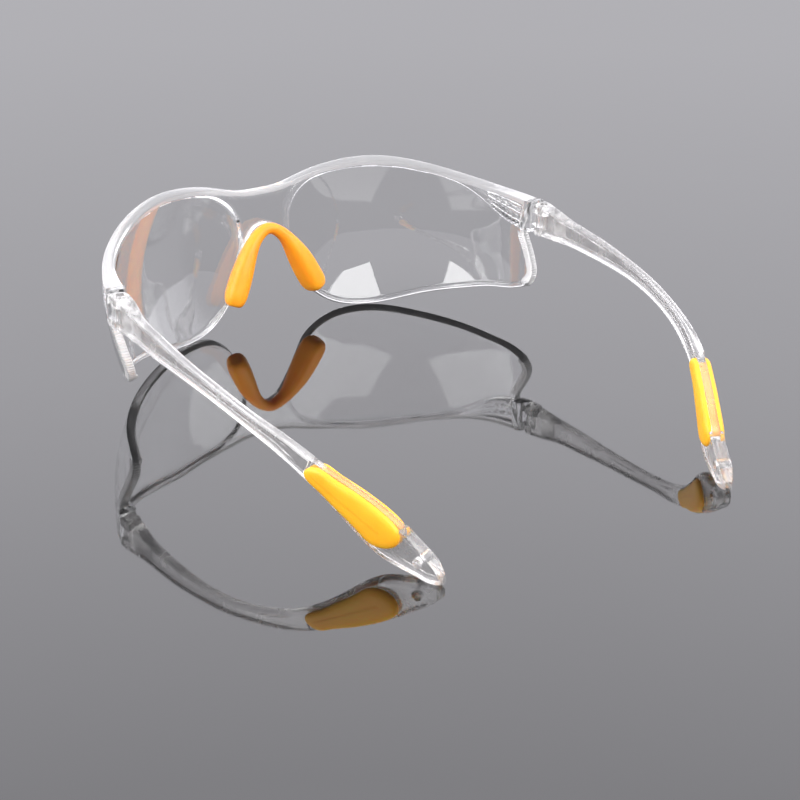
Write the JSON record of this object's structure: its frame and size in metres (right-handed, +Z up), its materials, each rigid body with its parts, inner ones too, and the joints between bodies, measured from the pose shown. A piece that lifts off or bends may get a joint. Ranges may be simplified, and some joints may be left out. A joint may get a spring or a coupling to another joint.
{
  "type": "safety glasses",
  "caption": "Clear wraparound safety glasses with a one-piece lens, a soft nose pad and folding temples with soft grips.",
  "frame": {"origin": "middle of the bounding box in X and Y, on the surface that the glasses rest on", "axes": "+X to the wearer's right, +Y forward out of the lens, +Z up; the temples run back along -Y"},
  "size_m": [0.143, 0.1654, 0.0462],
  "materials": {
    "clear_polycarbonate": "polished and clear",
    "clear_temple_plastic": "moulded, clear and slightly frosted",
    "orange_rubber": "soft touch with a low sheen"
  },
  "bodies": {
    "front": {"front_lens": "clear_polycarbonate", "nose_pad": "orange_rubber", "right_hinge_pin": "clear_temple_plastic", "left_hinge_pin": "clear_temple_plastic"},
    "right_arm": {"right_temple": "clear_temple_plastic", "right_temple_grip": "orange_rubber"},
    "left_arm": {"left_temple": "clear_temple_plastic", "left_temple_grip": "orange_rubber"}
  },
  "joints": [
    {"name": "right_temple_fold", "type": "hinge", "parent": "front", "child": "right_arm", "pos_m": [0.069, 0.03156, 0.0331], "axis": [0, 0, -1], "range_deg": [0, 84]},
    {"name": "left_temple_fold", "type": "hinge", "parent": "front", "child": "left_arm", "pos_m": [-0.069, 0.03156, 0.0331], "axis": [0, 0, 1], "range_deg": [0, 90]}
  ]
}
